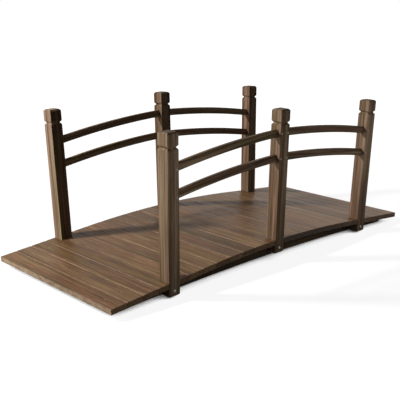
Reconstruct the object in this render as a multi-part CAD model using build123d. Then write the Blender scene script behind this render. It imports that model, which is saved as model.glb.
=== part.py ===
from build123d import *
import os
from math import atan2, cos, degrees, radians, sin

# Cambered garden footbridge of stained softwood. X runs along the bridge, Y across it, Z up.
# The origin is on the ground under the middle of the span. All sizes are in millimetres, angles in degrees.

# Deck: equal boards laid across the bridge, each bedded on a flat of its own on the beams.
# The bed line is an arc about mid-span that runs out in straight tangents to both ends.
deck_width = 660
deck_length = 1536
board_count = 24
board_thickness = 19
board_gap = 1.4
board_edge_ease = 1.5
arch_radius = 4390
arch_half_length = 388

# Side beams: the top follows the bed line, the underside is one long arc between two level seats.
beam_thickness = 38
beam_end_depth = 24
beam_clear_height = 19
beam_seat_length = 40
deck_end_overhang = 52

# Posts: outer faces flush with the deck's edge, feet planed to bear flat on the beams' sides.
# Both railings splay outwards from the deck, and the end posts also lean towards the ends of the bridge.
post_size = 46
middle_post_length = 531
end_post_length = 542
end_post_lean = 1.6
railing_splay = 1.6
end_post_board_count = 8
end_foot_ground_gap = 8
notch_clearance = 1
post_top_chamfer = 5
post_foot_chamfer = 5
post_groove_drop = 49
post_groove_width = 14
post_groove_depth = 6

# Rails: each is sawn to a bow, rounded along its edges and let into housings in the posts at both ends.
rail_depth = 27
rail_thickness = 16
rail_edge_radius = 3
rail_bow = 10
rail_spacing = 90
middle_rail_drop = 85
end_rail_drop = 122
housing_web = 10
housing_clearance = 0.4

# Every cutting shape runs past what it cuts by this much.
overrun = 12

board_pitch = deck_length / board_count
board_width = board_pitch - board_gap
half_count = board_count // 2
post_y = (deck_width - post_size) / 2
beam_face_y = deck_width / 2 - post_size
sides = {"near": -1, "far": 1}
bays = {"left": -1, "right": 1}


def half_bed_line():
    """Seam points of the bed line from mid-span outwards, as distance along and height above mid-span."""
    points = [(0, 0)]
    for number in range(half_count):
        reach = (number + 0.5) * board_pitch
        slope = min(reach, arch_half_length) / arch_radius
        x, z = points[-1]
        points.append((x + board_pitch * cos(slope), z - board_pitch * sin(slope)))
    return points


def height_on(line, x):
    """Height of a line of straight flats at the place x."""
    for (x0, z0), (x1, z1) in zip(line, line[1:]):
        if x0 <= x <= x1:
            return z0 + (z1 - z0) * (x - x0) / (x1 - x0)


bed_falls = half_bed_line()
beam_end_x = bed_falls[-1][0] - deck_end_overhang
middle_height = beam_end_depth - height_on(bed_falls, beam_end_x)
half_seams = [(x, middle_height + z) for x, z in bed_falls]
seams = [(-x, z) for x, z in reversed(half_seams[1:])] + half_seams

end_post_x, end_post_z = half_seams[end_post_board_count]
foot_length = (end_post_z - end_foot_ground_gap) / cos(radians(end_post_lean))
hinge_height = (end_post_z + middle_height) / 2


def railing_frame(side_sign):
    """Plane of one railing, splayed outwards about a line at deck level."""
    hinge = Location((0, side_sign * post_y, hinge_height))
    return hinge * Rotation(-side_sign * railing_splay, 0, 0) * Pos(0, 0, -hinge_height)


def post_frame(bay_sign):
    """Frame of a post in its railing, origin on the bed line, Z up the post. Bay sign 0 is the middle one."""
    place = (bay_sign * end_post_x, 0, end_post_z if bay_sign else middle_height)
    return Location(place) * Rotation(0, bay_sign * end_post_lean, 0)


def deck_board(index):
    """One deck board, notched round any post that stands on either of its seams."""
    (x0, z0), (x1, z1) = seams[index], seams[index + 1]
    tilt = degrees(atan2(z0 - z1, x1 - x0))
    bed = Location(((x0 + x1) / 2, 0, (z0 + z1) / 2)) * Rotation(0, tilt, 0)
    section = Plane.XZ * Rectangle(board_width, board_thickness, align=(Align.CENTER, Align.MIN))
    top_corners = section.vertices().group_by(Axis.Z)[-1]
    section = chamfer(top_corners, board_edge_ease)
    board = bed * extrude(section, deck_width / 2, both=True)
    notch = Box(
        post_size + 2 * notch_clearance,
        post_size + notch_clearance + overrun,
        2 * (board_thickness + overrun),
    )
    outset = (overrun - notch_clearance) / 2
    for bay_sign in (-1, 0, 1):
        post_seam = half_count + bay_sign * end_post_board_count
        if post_seam not in (index, index + 1):
            continue
        for side_sign in sides.values():
            board -= railing_frame(side_sign) * post_frame(bay_sign) * Pos(0, side_sign * outset, 0) * notch
    return board


def side_beam(side_sign):
    """One arched side beam."""
    crown = [(x, z) for x, z in seams if abs(x) < beam_end_x]
    seat_x = beam_end_x - beam_seat_length
    left_end = [(-beam_end_x, 0), (-beam_end_x, beam_end_depth)]
    right_end = [(beam_end_x, beam_end_depth), (beam_end_x, 0)]
    top = Polyline(*left_end, *crown, *right_end)
    right_seat = Line((beam_end_x, 0), (seat_x, 0))
    underside = ThreePointArc((seat_x, 0), (0, beam_clear_height), (-seat_x, 0))
    left_seat = Line((-seat_x, 0), (-beam_end_x, 0))
    profile = Plane.XZ * make_face([top, right_seat, underside, left_seat])
    middle_y = side_sign * (beam_face_y - beam_thickness / 2)
    return Pos(0, middle_y, 0) * extrude(profile, beam_thickness / 2, both=True)


def rail_end(bay_sign, length, drop):
    """Point on a post's axis at a rail's centre line, as distance along and height in the railing's plane."""
    rise = length - foot_length - drop
    lean = radians(end_post_lean) * bay_sign
    x, z = (end_post_x, end_post_z) if bay_sign else (0, middle_height)
    return Vector(x + rise * sin(lean), z + rise * cos(lean))


def rail_blank(level, top_room, side_room, end_room):
    """A rounded right-hand rail in the railing's plane, with room added above, beside and past its ends."""
    inner = rail_end(0, middle_post_length, middle_rail_drop + level * rail_spacing)
    outer = rail_end(1, end_post_length, end_rail_drop + level * rail_spacing)
    chord = outer - inner
    radius = (chord.length ** 2 / 4 + rail_bow ** 2) / (2 * rail_bow)
    up = Vector(-chord.Y, chord.X).normalized()
    centre = (inner + outer) / 2 - up * (radius - rail_bow)
    start = (inner - chord.normalized() * overrun - centre).normalized()
    end = (outer + chord.normalized() * overrun - centre).normalized()
    low = radius - rail_depth / 2
    high = radius + rail_depth / 2 + top_room
    lower = ThreePointArc(centre + start * low, centre + up * low, centre + end * low)
    upper = ThreePointArc(centre + end * high, centre + up * high, centre + start * high)
    profile = make_face([lower, Line(lower @ 1, upper @ 0), upper, Line(upper @ 1, lower @ 0)])
    blank = extrude(Plane.XZ * profile, rail_thickness / 2 + side_room, both=True)
    core = housing_web / 2 - end_room
    trim = Box(
        post_size + 2 * overrun,
        rail_thickness + 2 * overrun,
        4 * (middle_post_length + end_post_length),
        align=(Align.MAX, Align.CENTER, Align.CENTER),
    )
    blank -= post_frame(0) * Pos(core, 0, 0) * trim
    blank -= post_frame(1) * Pos(-core, 0, 0) * Rotation(0, 0, 180) * trim
    long_edges = blank.edges().filter_by(GeomType.CIRCLE)
    return fillet(long_edges, rail_edge_radius + side_room)


def rail(bay_sign, side_sign, level, top_room=0, side_room=0, end_room=0):
    """A rail in its place, or with room added the shape of its housings."""
    blank = rail_blank(level, top_room, side_room, end_room)
    if bay_sign < 0:
        blank = mirror(blank, about=Plane.YZ)
    return railing_frame(side_sign) * blank


def post(bay_sign, side_sign):
    """One post: shaft with chamfered ends, groove all round, a housing for each rail end, a planed foot."""
    length = end_post_length if bay_sign else middle_post_length
    head = length - foot_length
    groove = head - post_groove_drop
    half_groove = post_groove_width / 2
    square = Rectangle(post_size, post_size)
    waist_size = post_size - 2 * post_groove_depth
    waist = Pos(0, 0, groove) * Rectangle(waist_size, waist_size)
    shaft = extrude(Pos(0, 0, -foot_length) * square, foot_length + groove - half_groove)
    shaft = chamfer(shaft.edges().group_by(Axis.Z)[0], post_foot_chamfer)
    shaft += loft([Pos(0, 0, groove - half_groove) * square, waist])
    shaft += loft([waist, Pos(0, 0, groove + half_groove) * square])
    cap = extrude(Pos(0, 0, groove + half_groove) * square, post_groove_drop - half_groove)
    shaft += chamfer(cap.edges().group_by(Axis.Z)[-1], post_top_chamfer)
    shaft = railing_frame(side_sign) * post_frame(bay_sign) * shaft
    for rail_bay in [bay_sign] if bay_sign else bays.values():
        for level in (0, 1):
            shaft -= rail(rail_bay, side_sign, level, housing_clearance, housing_clearance, housing_clearance)
    shaft -= Box(2 * deck_length, 2 * beam_face_y, 2 * length)
    return shaft


def build():
    """Every piece of the bridge by its name."""
    pieces = {}
    for index in range(board_count):
        pieces[f"deck_board_{index + 1:02d}"] = deck_board(index)
    for side, side_sign in sides.items():
        pieces[f"{side}_beam"] = side_beam(side_sign)
        pieces[f"{side}_middle_post"] = post(0, side_sign)
        for bay, bay_sign in bays.items():
            pieces[f"{side}_{bay}_post"] = post(bay_sign, side_sign)
            for level, name in enumerate(("upper", "lower")):
                pieces[f"{side}_{bay}_{name}_rail"] = rail(bay_sign, side_sign, level)
    return pieces


os.makedirs("parts", exist_ok=True)
for node, solid in build().items():
    solid.label = node
    export_step(solid, f"parts/{node}.step")
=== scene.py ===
import random
from collections import namedtuple
from math import cos, pi, radians, sin

import bmesh
import bpy
from mathutils import Matrix, Vector
from mathutils.bvhtree import BVHTree


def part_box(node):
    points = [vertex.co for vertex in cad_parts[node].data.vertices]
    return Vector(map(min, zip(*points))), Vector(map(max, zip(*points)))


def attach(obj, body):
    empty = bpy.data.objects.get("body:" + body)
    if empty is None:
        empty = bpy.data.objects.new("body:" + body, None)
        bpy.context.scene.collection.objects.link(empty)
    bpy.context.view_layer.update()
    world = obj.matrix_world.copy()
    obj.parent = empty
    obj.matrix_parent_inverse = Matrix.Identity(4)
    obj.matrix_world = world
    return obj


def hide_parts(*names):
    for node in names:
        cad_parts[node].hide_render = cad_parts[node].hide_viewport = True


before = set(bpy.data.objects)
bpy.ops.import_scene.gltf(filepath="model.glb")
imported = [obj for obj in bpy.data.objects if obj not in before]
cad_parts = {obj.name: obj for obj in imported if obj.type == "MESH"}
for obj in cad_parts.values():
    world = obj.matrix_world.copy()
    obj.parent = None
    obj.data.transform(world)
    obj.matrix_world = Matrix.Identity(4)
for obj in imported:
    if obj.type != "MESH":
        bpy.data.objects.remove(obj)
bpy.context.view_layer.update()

# Every length below is in metres. X runs along the bridge, Y across it, Z up.

# Camera, set at the photograph's viewing angle
EYE = (-2.0111, -2.0376, 0.9501)
EYE_YAW = 0.75656
EYE_PITCH = 0.26545
EYE_LENS = 67.918
SENSOR = 36

# Pieces of the bridge as the solids have them
BOARDS = 24
RAILING_SPLAY = radians(1.6)
END_POST_LEAN = radians(1.6)
SIDES = {"near": -1, "far": 1}
BAYS = {"left": -1, "middle": 0, "right": 1}
END_BAYS = ("left", "right")
LEVELS = ("upper", "lower")

# Directions
ALONG = Vector((1, 0, 0))
ACROSS = Vector((0, 1, 0))
UP = Vector((0, 0, 1))

# Rounding of the sawn and sanded edges
BOARD_EASE = 0.0007
POST_EASE = 0.0013
RAIL_EASE = 0.0004
BEAM_EASE = 0.0010
EASE_STEPS = 3
ROUND_PROFILE = 0.5
SHARP_ANGLE = radians(35)
FLAT_ANGLE = radians(0.4)
WELD = 1e-6

# How much lighter or darker a piece is drawn. At 0.5 a piece has its palest colour, at -0.5 its darkest.
BOARD_TONE = 0.0
# Each post's tone, lighter or darker post by post
POST_TONES = {
    "near": {"left": 0.08, "middle": -0.02, "right": 0.08},
    "far": {"left": 0.16, "middle": -0.08, "right": -0.06},
}
# Painted light and shade: near rails are drawn darker as shade, far rails paler as light
RAIL_PAINTED_LIGHT_TONES = {"near": -0.12, "far": 0.19}
# Painted shade: the beams are drawn darker for the shade under the deck's overhang
BEAM_PAINTED_SHADE_TONE = -0.40
BOARD_TONE_SPREAD = 0.055
FRAME_TONE_SPREAD = 0.035
END_GRAIN_TONE = -0.04
END_GRAIN_SPREAD = 0.17

# Painted light and shade on end grain, by board: the first board's ends are drawn paler as painted light, a
# run right of the middle darker as painted shade
FIRST_END_PAINTED_LIGHT = 0.70
SHADED_END_BOARDS = range(13, 21)
END_PAINTED_SHADE = -0.28
END_PAINTED_LIGHT_AND_SHADE = {1: FIRST_END_PAINTED_LIGHT, **dict.fromkeys(SHADED_END_BOARDS, END_PAINTED_SHADE)}

# Painted shade: the far left post's face that looks across the walkway is drawn darker, for shade that the
# lamps leave too light there
SHADED_POST = ("far", "left")
SHADED_FACE_WAY = -ACROSS
PAINTED_SHADE_TONE = -0.35

# Both ends of the deck are rubbed pale
END_FACE_WEAR = 1.0
PALE_ENDS = {1: -ALONG, BOARDS: ALONG}

# Where a piece was cut from its trunk: distance from the pith, and place along the trunk
PITH_NEAREST = 0.030
PITH_FURTHEST = 0.090
TRUNK_FROM = 5
TRUNK_TO = 50
GRAIN_ASIDE = Vector((0.3, 0.2, 1.0))
STEEP = 0.9

# A bowed rail's grain falls from end to end by this share of its box's height
RAIL_FALL_SHARE = 0.75

# Layers of noise in the wood, with how often they repeat in a metre along and across the grain
Layer = namedtuple("Layer", "along across detail roughness")
WANDER = Layer(2.0, 9.0, 2.0, 0.5)
WAVER = Layer(10.0, 70.0, 2.0, 0.5)
FIBRE = Layer(6.0, 400.0, 3.0, 0.6)
PORES = Layer(26.0, 1500.0, 2.0, 0.5)
STREAK = Layer(2.4, 190.0, 2.0, 0.6)
BANDS = Layer(0.9, 60.0, 2.0, 0.5)
CLOUD = Layer(3.0, 14.0, 2.0, 0.5)
CAST = Layer(1.6, 48.0, 2.0, 0.5)
RUB = Layer(40.0, 90.0, 3.0, 0.5)
NOISE_MEAN = 0.5

# Growth rings
RINGS_PER_METRE = 210.0
WANDER_REACH = 0.030
WAVER_REACH = 0.0026
RING_GREYS = ((0.0, 0.15), (0.5, 0.3), (0.88, 1.0), (1.0, 0.15))
RING_MEAN = 0.45

# What each layer adds to the depth of the stain, and where its middle colour lies
RING_DEPTH = -0.15
FIBRE_DEPTH = 1.2
STREAK_DEPTH = 1.7
BANDS_DEPTH = 0.8
CLOUD_DEPTH = 0.7
MIDDLE_DEPTH = 0.5

# Casts of colour, each from where its noise starts to where it is full
RED_CAST = (1.08, 0.88, 0.92)
RED_FROM = 0.54
RED_FULL = 0.68
GREEN_CAST = (0.93, 1.03, 0.78)
GREEN_FROM = 0.46
GREEN_FULL = 0.34
CAST_SHARE = 0.8

# Rubbed edges
RUB_FROM = 0.35
RUB_FULL = 0.65
RUB_LEAST = 0.2
RUB_MOST = 0.7

# Roughness and relief of the wood
ROUGHNESS_FROM = 0.7
ROUGHNESS_TO = 1.3
SMOOTHER = 0.08
ROUGHER = 0.10
RING_HEIGHT = 0.45
FIBRE_HEIGHT = 0.8
PORE_HEIGHT = 0.5
GRAIN_BUMP = 0.35
GRAIN_RELIEF = 0.0005

# Dulled zinc
BLOTCH = Layer(700.0, 700.0, 3.0, 0.6)
BLOTCH_FROM = 0.3
BLOTCH_TO = 0.7
ZINC_DARK = (0.09, 0.085, 0.08)
ZINC_PALE = (0.23, 0.22, 0.20)
ZINC_DULL = 0.55
ZINC_BRIGHT = 0.38
ZINC_BUMP = 0.2
ZINC_RELIEF = 0.0001

# Fasteners: deck screws over the beams, rail screws through the posts and a bolt in each foot
DECK_SCREW_Y = 0.258
DECK_SCREW_RADIUS = 0.0026
RAIL_SCREW_RADIUS = 0.0030
RAIL_SCREW_REACH = 0.0105
BOLT_RADIUS = 0.0052
BOLT_RISE = 0.0030
BOLT_HEIGHT = 0.0215
FOOT_HALF = 0.023
SCREW_RISE = 0.0005
SCREW_SINK = 0.0010
SCREW_FLAT_SHARE = 0.92
RECESS_SHARE = 0.62
RECESS_TAPER_SHARE = 0.8
RECESS_DEPTH = 0.0008
RECESS_HALF_ANGLE = pi / 12
HEAD_CORNERS = 24
DOME_STEPS = 5
QUARTER_TURN = pi / 2
OUTSIDE = 2.0

# Lamps in front of the near posts
FRONT_LEVELS = {"left": 0.42, "middle": 0.285, "right": 0.46}
FRONT_SPACING = 0.51
FRONT_AIM_Y = -0.33
FRONT_AIM_Z = 0.34
STUDIO_AIM = (0, 0, 0.15)

# Floor and surroundings, white where they are seen and dim where they light the bridge
WHITE = (1, 1, 1, 1)
FLOOR_REACH = 30
FLOOR_GREY = 0.10
FLOOR_PALE = 0.90
FLOOR_GLOW = 1.12
GLOW_SHARE = 0.80
SHADOW_REACH = 1.2
FADE_REACH = 2.4
SHELTER_REACH = 0.4
SHELTERED = 0.05
OPEN = 0.16
SKY_LIGHT = 0.006

# Sockets of a colour mix node
MIX_SHARE = 0
MIX_FIRST = 6
MIX_SECOND = 7
MIX_RESULT = 2
NEW_STOP = 0.5

# Seeds of the grain and of the end grain's tones
GRAIN_SEED = 41
END_GRAIN_SEED = 1774
draw = random.Random(GRAIN_SEED)
end_draw = random.Random(END_GRAIN_SEED)


class Nodes:
    """A node tree while it is being put together."""

    def __init__(self, tree):
        self.tree = tree
        tree.nodes.clear()

    def put(self, socket, value):
        if isinstance(value, bpy.types.NodeSocket):
            self.tree.links.new(value, socket)
        else:
            socket.default_value = value

    def node(self, kind, inputs=None, **settings):
        made = self.tree.nodes.new(kind)
        for key, value in settings.items():
            setattr(made, key, value)
        for key, value in (inputs or {}).items():
            self.put(made.inputs[key], value)
        return made

    def attribute(self, name):
        return self.node("ShaderNodeAttribute", attribute_name=name)

    def calc(self, operation, first, second=0.0):
        return self.node("ShaderNodeMath", {0: first, 1: second}, operation=operation).outputs[0]

    def length(self, vector):
        return self.node("ShaderNodeVectorMath", {0: vector}, operation="LENGTH").outputs["Value"]

    def noise(self, vector, layer, shorter=1.0, finer=1.0):
        """A layer of noise, with its figure made shorter along the grain or finer across it."""
        across = layer.across * finer
        scale = (layer.along * shorter, across, across)
        place = self.node("ShaderNodeVectorMath", {0: vector, 1: scale}, operation="MULTIPLY").outputs[0]
        inputs = {"Vector": place, "Scale": 1.0, "Detail": layer.detail, "Roughness": layer.roughness}
        return self.node("ShaderNodeTexNoise", inputs).outputs[0]

    def spread(self, value, low, high, new_low, new_high):
        inputs = {0: value, 1: low, 2: high, 3: new_low, 4: new_high}
        return self.node("ShaderNodeMapRange", inputs, clamp=True).outputs[0]

    def ramp(self, value, stops):
        made = self.node("ShaderNodeValToRGB", {0: value})
        points = made.color_ramp.elements
        while len(points) < len(stops):
            points.new(NEW_STOP)
        for point, (place, colour) in zip(points, stops):
            point.position = place
            point.color = (*colour, 1.0)
        return made.outputs[0]

    def tint(self, share, colour, tinted, blend="MIX"):
        """A colour, mixed with or multiplied by another one by a share."""
        made = self.node("ShaderNodeMix", data_type="RGBA", blend_type=blend)
        self.put(made.inputs[MIX_SHARE], share)
        self.put(made.inputs[MIX_FIRST], colour)
        self.put(made.inputs[MIX_SECOND], (*tinted, 1.0))
        return made.outputs[MIX_RESULT]

    def bump(self, height, strength, relief):
        inputs = {"Strength": strength, "Distance": relief, "Height": height}
        return self.node("ShaderNodeBump", inputs).outputs[0]

    def seen_directly(self):
        """1 for what is seen straight, mirrored or through glass, 0 for light falling on the bridge."""
        path = self.node("ShaderNodeLightPath").outputs
        mirrored = self.calc("MAXIMUM", path["Is Camera Ray"], path["Is Glossy Ray"])
        return self.calc("MAXIMUM", mirrored, path["Is Transmission Ray"])

    def finish(self, shader, output="ShaderNodeOutputMaterial"):
        self.node(output, {"Surface": shader.outputs[0]})


def new_material(name):
    """An empty node material and its tree."""
    material = bpy.data.materials.new(name)
    material.use_nodes = True
    return material, Nodes(material.node_tree)


def growth_rings(look, grain):
    """Growth rings about a pith line that lies outside the piece and wanders along it."""
    parts = look.node("ShaderNodeSeparateXYZ", {0: grain}).outputs
    flat = look.node("ShaderNodeCombineXYZ", {1: parts[1], 2: parts[2]}).outputs[0]
    wander = look.calc("MULTIPLY", look.noise(grain, WANDER), WANDER_REACH)
    waver = look.calc("MULTIPLY", look.noise(grain, WAVER), WAVER_REACH)
    radius = look.calc("ADD", look.calc("ADD", look.length(flat), wander), waver)
    ring = look.calc("FRACT", look.calc("MULTIPLY", radius, RINGS_PER_METRE))
    return look.ramp(ring, [(place, (grey, grey, grey)) for place, grey in RING_GREYS])


def stained_wood(name, dark, middle, pale, worn, shine, rough, fineness, shortness, figure):
    """Brown stained softwood, read from the piece's own grain coordinates so that no two pieces match."""
    material, look = new_material(name)
    grain = look.attribute("grain").outputs["Vector"]
    tone = look.attribute("tone").outputs["Fac"]
    wear = look.attribute("wear").outputs["Fac"]

    # Rings, fibres, streaks and broad bands where the stain took more or less
    ring = growth_rings(look, grain)
    fibre = look.noise(grain, FIBRE, shorter=shortness)
    streak = look.noise(grain, STREAK, shorter=shortness, finer=fineness)
    bands = look.noise(grain, BANDS, finer=fineness)
    cloud = look.noise(grain, CLOUD)
    depth = look.calc("ADD", tone, MIDDLE_DEPTH)
    for layer, mean, strength in (
        (ring, RING_MEAN, RING_DEPTH),
        (fibre, NOISE_MEAN, FIBRE_DEPTH),
        (streak, NOISE_MEAN, STREAK_DEPTH),
        (bands, NOISE_MEAN, BANDS_DEPTH),
        (cloud, NOISE_MEAN, CLOUD_DEPTH),
    ):
        part = look.calc("MULTIPLY", look.calc("SUBTRACT", layer, mean), strength * figure)
        depth = look.calc("ADD", depth, part)
    colour = look.ramp(depth, [(0.0, dark), (MIDDLE_DEPTH, middle), (1.0, pale)])

    # Red and green casts that run along the grain in narrow streaks
    cast = look.noise(grain, CAST)
    red = look.spread(cast, RED_FROM, RED_FULL, 0.0, CAST_SHARE)
    green = look.spread(cast, GREEN_FROM, GREEN_FULL, 0.0, CAST_SHARE)
    colour = look.tint(red, colour, RED_CAST, "MULTIPLY")
    colour = look.tint(green, colour, GREEN_CAST, "MULTIPLY")

    # Edges rubbed paler
    rub = look.spread(look.noise(grain, RUB), RUB_FROM, RUB_FULL, RUB_LEAST, RUB_MOST)
    colour = look.tint(look.calc("MULTIPLY", wear, rub), colour, worn)

    # Roughness, and relief with fine pores
    roughness = look.spread(
        look.calc("ADD", fibre, cloud), ROUGHNESS_FROM, ROUGHNESS_TO, rough - SMOOTHER, rough + ROUGHER,
    )
    ring_height = look.calc("MULTIPLY", ring, RING_HEIGHT)
    fibre_height = look.calc("MULTIPLY", fibre, FIBRE_HEIGHT)
    pore_height = look.calc("MULTIPLY", look.noise(grain, PORES), PORE_HEIGHT)
    height = look.calc("ADD", look.calc("ADD", ring_height, fibre_height), pore_height)
    look.finish(look.node("ShaderNodeBsdfPrincipled", {
        "Base Color": colour,
        "Roughness": roughness,
        "Specular IOR Level": shine,
        "Normal": look.bump(height, GRAIN_BUMP, GRAIN_RELIEF),
    }))
    return material


def zinc_steel(name):
    """Dulled zinc plating on the fasteners."""
    material, look = new_material(name)
    blotch = look.noise(look.node("ShaderNodeTexCoord").outputs["Object"], BLOTCH)
    look.finish(look.node("ShaderNodeBsdfPrincipled", {
        "Base Color": look.ramp(blotch, [(BLOTCH_FROM, ZINC_DARK), (BLOTCH_TO, ZINC_PALE)]),
        "Metallic": 1.0,
        "Roughness": look.spread(blotch, BLOTCH_FROM, BLOTCH_TO, ZINC_DULL, ZINC_BRIGHT),
        "Normal": look.bump(blotch, ZINC_BUMP, ZINC_RELIEF),
    }))
    return material


deck_wood = stained_wood(
    "deck_stain",
    dark=(0.042, 0.0205, 0.0092),
    middle=(0.131, 0.069, 0.0318),
    pale=(0.270, 0.168, 0.089),
    worn=(0.32, 0.24, 0.17),
    shine=0.070,
    rough=0.40,
    fineness=1.9,
    shortness=2.2,
    figure=0.85,
)
frame_wood = stained_wood(
    "frame_stain",
    dark=(0.043, 0.026, 0.014),
    middle=(0.138, 0.088, 0.052),
    pale=(0.285, 0.205, 0.140),
    worn=(0.25, 0.18, 0.12),
    shine=0.03,
    rough=0.50,
    fineness=0.6,
    shortness=1.0,
    figure=0.95,
)
steel = zinc_steel("zinc_steel")


def collect(name, bm, material, replaced=None):
    """Makes a piece of the bridge from a finished mesh."""
    mesh = bpy.data.meshes.new(name)
    bm.to_mesh(mesh)
    bm.free()
    mesh.shade_smooth()
    mesh.materials.append(material)
    piece = bpy.data.objects.new(name, mesh)
    bpy.context.scene.collection.objects.link(piece)
    even = piece.modifiers.new("even_normals", "WEIGHTED_NORMAL")
    even.keep_sharp = True
    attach(piece, "root")
    if replaced:
        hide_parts(replaced)
    return piece


def eased_mesh(node, ease):
    """A solid's mesh with its sharp edges rounded, and its faces other than the roundings."""
    bm = bmesh.new()
    bm.from_mesh(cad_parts[node].data)
    bmesh.ops.remove_doubles(bm, verts=bm.verts, dist=WELD)
    bmesh.ops.dissolve_limit(bm, angle_limit=FLAT_ANGLE, verts=bm.verts, edges=bm.edges)
    bmesh.ops.recalc_face_normals(bm, faces=bm.faces)
    sharp = [e for e in bm.edges if e.is_manifold and e.calc_face_angle() > SHARP_ANGLE]
    rounded = bmesh.ops.bevel(
        bm, geom=sharp, offset=ease, offset_type="OFFSET", segments=EASE_STEPS,
        profile=ROUND_PROFILE, affect="EDGES", clamp_overlap=True,
    )
    bm.verts.index_update()
    return bm, set(bm.faces) - set(rounded["faces"])


def corners_facing(faces, way):
    """Numbers of the corners of those faces that look a given way."""
    turned = [face for face in faces if face.normal.dot(way) > cos(SHARP_ANGLE)]
    return {vert.index for face in turned for vert in face.verts}


def timber(name, node, material, along, ease, tone, pale_way=None, painted_shade_way=None, painted_end_light_and_shade=0.0):
    """Stands for a solid: its shape with rounded edges, its own grain, and tones of its faces and ends,
    where one face may carry painted shade and the ends painted light or shade.
    """
    bm, flats = eased_mesh(node, ease)
    low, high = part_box(node)
    middle = (low + high) / 2
    across = along.cross(GRAIN_ASIDE if abs(along.z) < STEEP else ACROSS).normalized()
    depth = along.cross(across)
    turn = draw.uniform(0, 2 * pi)
    reach = draw.uniform(PITH_NEAREST, PITH_FURTHEST)
    pith = Vector((draw.uniform(TRUNK_FROM, TRUNK_TO), reach * cos(turn), reach * sin(turn)))
    # The end grain's tone holds painted light or shade for some boards
    end_tone = tone + painted_end_light_and_shade + end_draw.gauss(END_GRAIN_TONE, END_GRAIN_SPREAD)

    offsets = [v.co - middle for v in bm.verts]
    grain_at = [Vector((d.dot(along), d.dot(across), d.dot(depth))) + pith for d in offsets]
    wear_at = [0.0 if any(f in flats for f in v.link_faces) else 1.0 for v in bm.verts]
    tone_at = [tone] * len(wear_at)
    for corner in corners_facing(flats, along) | corners_facing(flats, -along):
        tone_at[corner] = end_tone
    # Painted shade on one face of a post
    if painted_shade_way:
        for corner in corners_facing(flats, painted_shade_way):
            tone_at[corner] = tone + PAINTED_SHADE_TONE
    if pale_way:
        for corner in corners_facing(flats, pale_way):
            wear_at[corner] = END_FACE_WEAR

    piece = collect(name, bm, material, node)
    attributes = piece.data.attributes
    grain_values = [value for point in grain_at for value in point]
    attributes.new("grain", "FLOAT_VECTOR", "POINT").data.foreach_set("vector", grain_values)
    attributes.new("wear", "FLOAT", "POINT").data.foreach_set("value", wear_at)
    attributes.new("tone", "FLOAT", "POINT").data.foreach_set("value", tone_at)


def post_axis(bay_sign, side_sign):
    """Direction of a post, leaning along the bridge and splayed outwards."""
    lean = Matrix.Rotation(bay_sign * END_POST_LEAN, 3, "Y")
    splay = Matrix.Rotation(-side_sign * RAILING_SPLAY, 3, "X")
    return splay @ lean @ UP


# Deck boards
for number in range(1, BOARDS + 1):
    timber(
        f"board_{number:02d}", f"deck_board_{number:02d}", deck_wood,
        ACROSS, BOARD_EASE, draw.gauss(BOARD_TONE, BOARD_TONE_SPREAD),
        # Some boards get painted light or painted shade on their end grain
        pale_way=PALE_ENDS.get(number), painted_end_light_and_shade=END_PAINTED_LIGHT_AND_SHADE.get(number, 0.0),
    )

# Beams, posts and rails
for side, side_sign in SIDES.items():
    # The beam's tone is painted shade
    timber(
        f"beam_{side}", f"{side}_beam", frame_wood,
        ALONG, BEAM_EASE, draw.gauss(BEAM_PAINTED_SHADE_TONE, FRAME_TONE_SPREAD),
    )
    for bay, bay_sign in BAYS.items():
        timber(
            f"post_{side}_{bay}", f"{side}_{bay}_post", frame_wood,
            post_axis(bay_sign, side_sign), POST_EASE, POST_TONES[side][bay],
            # The far left post gets painted shade on its inner face
            painted_shade_way=SHADED_FACE_WAY if (side, bay) == SHADED_POST else None,
        )
        if bay not in END_BAYS:
            continue
        for level in LEVELS:
            node = f"{side}_{bay}_{level}_rail"
            low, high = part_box(node)
            fall = RAIL_FALL_SHARE * (high.z - low.z)
            # A rail's tone holds painted shade on the near side and painted light on the far side
            timber(
                f"rail_{side}_{bay}_{level}", node, frame_wood,
                Vector((high.x - low.x, 0, -bay_sign * fall)).normalized(), RAIL_EASE,
                draw.gauss(RAIL_PAINTED_LIGHT_TONES[side], FRAME_TONE_SPREAD),
            )


def strike(node, start, aim):
    """Where a line first meets a solid, and the way the face looks there."""
    bm = bmesh.new()
    bm.from_mesh(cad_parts[node].data)
    place, facing, _, _ = BVHTree.FromBMesh(bm).ray_cast(Vector(start), aim)
    bm.free()
    return place, facing


def cross_outline(arm):
    """Radius of a driver's cross recess at an angle. Its arms are a twelfth of a turn wide."""
    half_width = arm * sin(RECESS_HALF_ANGLE) / cos(RECESS_HALF_ANGLE)

    def radius_at(angle):
        right = max(abs(cos(angle)), WELD)
        up = max(abs(sin(angle)), WELD)
        return max(min(half_width / right, arm / up), min(arm / right, half_width / up))

    return radius_at


def add_head(bm, place, facing, profile):
    """Adds a fastener head, given as rings of a radius or an outline and a height above the wood."""
    turned = Matrix.Translation(place) @ facing.to_track_quat("Z", "Y").to_matrix().to_4x4()
    turned = turned @ Matrix.Rotation(draw.uniform(0, QUARTER_TURN), 4, "Z")
    angles = [2 * pi * corner / HEAD_CORNERS for corner in range(HEAD_CORNERS)]
    last = None
    for size, height in profile:
        radii = [size(angle) if callable(size) else size for angle in angles]
        points = [Vector((r * cos(a), r * sin(a), height)) for r, a in zip(radii, angles)]
        ring = [bm.verts.new(turned @ point) for point in points]
        if last:
            for corner in range(HEAD_CORNERS):
                following = (corner + 1) % HEAD_CORNERS
                bm.faces.new((last[corner], last[following], ring[following], ring[corner]))
        last = ring
    bm.faces.new(last)


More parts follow.
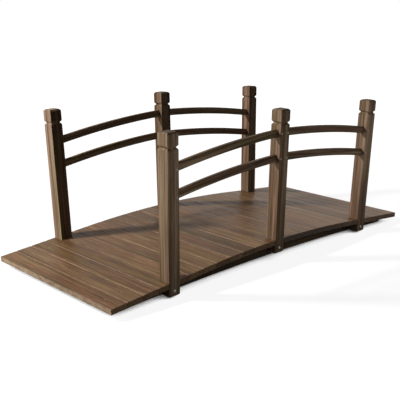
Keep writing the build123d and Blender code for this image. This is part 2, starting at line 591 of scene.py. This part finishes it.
def screw_profile(radius):
    """A flat countersunk head with a cross recess."""
    arm = RECESS_SHARE * radius
    return [
        (radius, -SCREW_SINK),
        (radius, SCREW_RISE / 2),
        (SCREW_FLAT_SHARE * radius, SCREW_RISE),
        (cross_outline(arm), SCREW_RISE),
        (cross_outline(RECESS_TAPER_SHARE * arm), SCREW_RISE - RECESS_DEPTH),
    ]


def bolt_profile():
    """A smooth domed head."""
    turns = [step * QUARTER_TURN / (DOME_STEPS + 1) for step in range(DOME_STEPS + 1)]
    return [(BOLT_RADIUS, -SCREW_SINK)] + [(BOLT_RADIUS * cos(t), BOLT_RISE * sin(t)) for t in turns]


# Deck screws, one at each end of every board
bm = bmesh.new()
for number in range(1, BOARDS + 1):
    node = f"deck_board_{number:02d}"
    low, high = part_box(node)
    for side_sign in SIDES.values():
        start = ((low.x + high.x) / 2, side_sign * DECK_SCREW_Y, 2 * high.z)
        add_head(bm, *strike(node, start, -UP), screw_profile(DECK_SCREW_RADIUS))
collect("deck_screws", bm, steel)

# Rail screws, one through the outer face of a post into each rail end
bm = bmesh.new()
for side, side_sign in SIDES.items():
    for bay in END_BAYS:
        for level in LEVELS:
            node = f"{side}_{bay}_{level}_rail"
            low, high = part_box(node)
            for post, toward in ((f"{side}_middle_post", BAYS[bay]), (f"{side}_{bay}_post", -BAYS[bay])):
                post_low, post_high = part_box(post)
                end_x = low.x if abs(low.x - post_low.x) < abs(high.x - post_high.x) else high.x
                x = end_x + toward * RAIL_SCREW_REACH
                y = (low.y + high.y) / 2
                under, _ = strike(node, (x, y, 0), UP)
                over, _ = strike(node, (x, y, 2 * high.z), -UP)
                start = (x, side_sign * OUTSIDE, (under.z + over.z) / 2)
                add_head(bm, *strike(post, start, -side_sign * ACROSS), screw_profile(RAIL_SCREW_RADIUS))
collect("rail_screws", bm, steel)

# Bolts, one through each post's foot into the beam
bm = bmesh.new()
for side, side_sign in SIDES.items():
    for bay in BAYS:
        post = f"{side}_{bay}_post"
        low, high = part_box(post)
        foot_x = high.x - FOOT_HALF if bay == "left" else low.x + FOOT_HALF
        start = (foot_x, side_sign * OUTSIDE, low.z + BOLT_HEIGHT)
        add_head(bm, *strike(post, start, -side_sign * ACROSS), bolt_profile())
collect("foot_bolts", bm, steel)


def softbox(name, bearing, height, distance, size, level, target=STUDIO_AIM):
    """A square lamp, angles in degrees. At level 1 it alone shows a white face turned to it as white."""
    data = bpy.data.lights.new(name, "AREA")
    data.energy = level * (pi * distance) ** 2
    data.size = size
    lamp = bpy.data.objects.new(name, data)
    flat = distance * cos(radians(height))
    rise = distance * sin(radians(height))
    away = Vector((flat * cos(radians(bearing)), flat * sin(radians(bearing)), rise))
    lamp.location = Vector(target) + away
    lamp.rotation_euler = (-away).to_track_quat("-Z", "Y").to_euler()
    bpy.context.scene.collection.objects.link(lamp)
    return lamp


# Lamps
softbox("key", bearing=145, height=36.5, distance=5.0, size=0.44, level=1.12)
softbox("left", bearing=160, height=4, distance=2.3, size=1.2, level=0.62)
right = softbox("right", bearing=15, height=8, distance=3.0, size=1.5, level=0.25)
right.visible_glossy = False
for bay, bay_sign in BAYS.items():
    aim = (bay_sign * FRONT_SPACING, FRONT_AIM_Y, FRONT_AIM_Z)
    softbox(
        f"front_{bay}", bearing=-90, height=8, distance=0.32, size=0.35,
        level=FRONT_LEVELS[bay], target=aim,
    )

# Floor
bm = bmesh.new()
bmesh.ops.create_grid(bm, x_segments=1, y_segments=1, size=FLOOR_REACH)
floor_mesh = bpy.data.meshes.new("floor")
bm.to_mesh(floor_mesh)
bm.free()
floor = bpy.data.objects.new("floor", floor_mesh)
bpy.context.scene.collection.objects.link(floor)

# The floor's white fades from shaded paper round the bridge to pure white, and is dark only right under it
floor_material, look = new_material("floor_pale")
plain = look.node("ShaderNodeBsdfDiffuse", {"Color": (FLOOR_GREY, FLOOR_GREY, FLOOR_GREY, 1)})
pale = look.node("ShaderNodeBsdfDiffuse", {"Color": (FLOOR_PALE, FLOOR_PALE, FLOOR_PALE, 1)})
glow = look.node("ShaderNodeEmission", {"Color": WHITE, "Strength": FLOOR_GLOW})
open_above = look.node("ShaderNodeAmbientOcclusion", {"Distance": SHELTER_REACH}).outputs["AO"]
away = look.length(look.node("ShaderNodeNewGeometry").outputs["Position"])
glow_share = look.calc(
    "MULTIPLY",
    look.spread(open_above, SHELTERED, OPEN, 0.0, 1.0),
    look.spread(away, SHADOW_REACH, FADE_REACH, GLOW_SHARE, 1.0),
)
white = look.node("ShaderNodeMixShader", {0: glow_share, 1: pale.outputs[0], 2: glow.outputs[0]})
both = look.node("ShaderNodeMixShader", {0: look.seen_directly(), 1: plain.outputs[0], 2: white.outputs[0]})
look.finish(both)
floor_mesh.materials.append(floor_material)

# Surroundings
world = bpy.data.worlds.new("studio")
bpy.context.scene.world = world
world.use_nodes = True
look = Nodes(world.node_tree)
strength = look.spread(look.seen_directly(), 0.0, 1.0, SKY_LIGHT, 1.0)
sky = look.node("ShaderNodeBackground", {"Color": WHITE, "Strength": strength})
look.finish(sky, "ShaderNodeOutputWorld")

# Camera
cam_data = bpy.data.cameras.new("camera")
cam_data.lens = EYE_LENS
cam_data.sensor_width = SENSOR
cam = bpy.data.objects.new("camera", cam_data)
cam.location = EYE
cam.rotation_euler = (QUARTER_TURN - EYE_PITCH, 0, -EYE_YAW)
bpy.context.scene.collection.objects.link(cam)
bpy.context.scene.camera = cam

bpy.context.scene.view_settings.view_transform = "Standard"
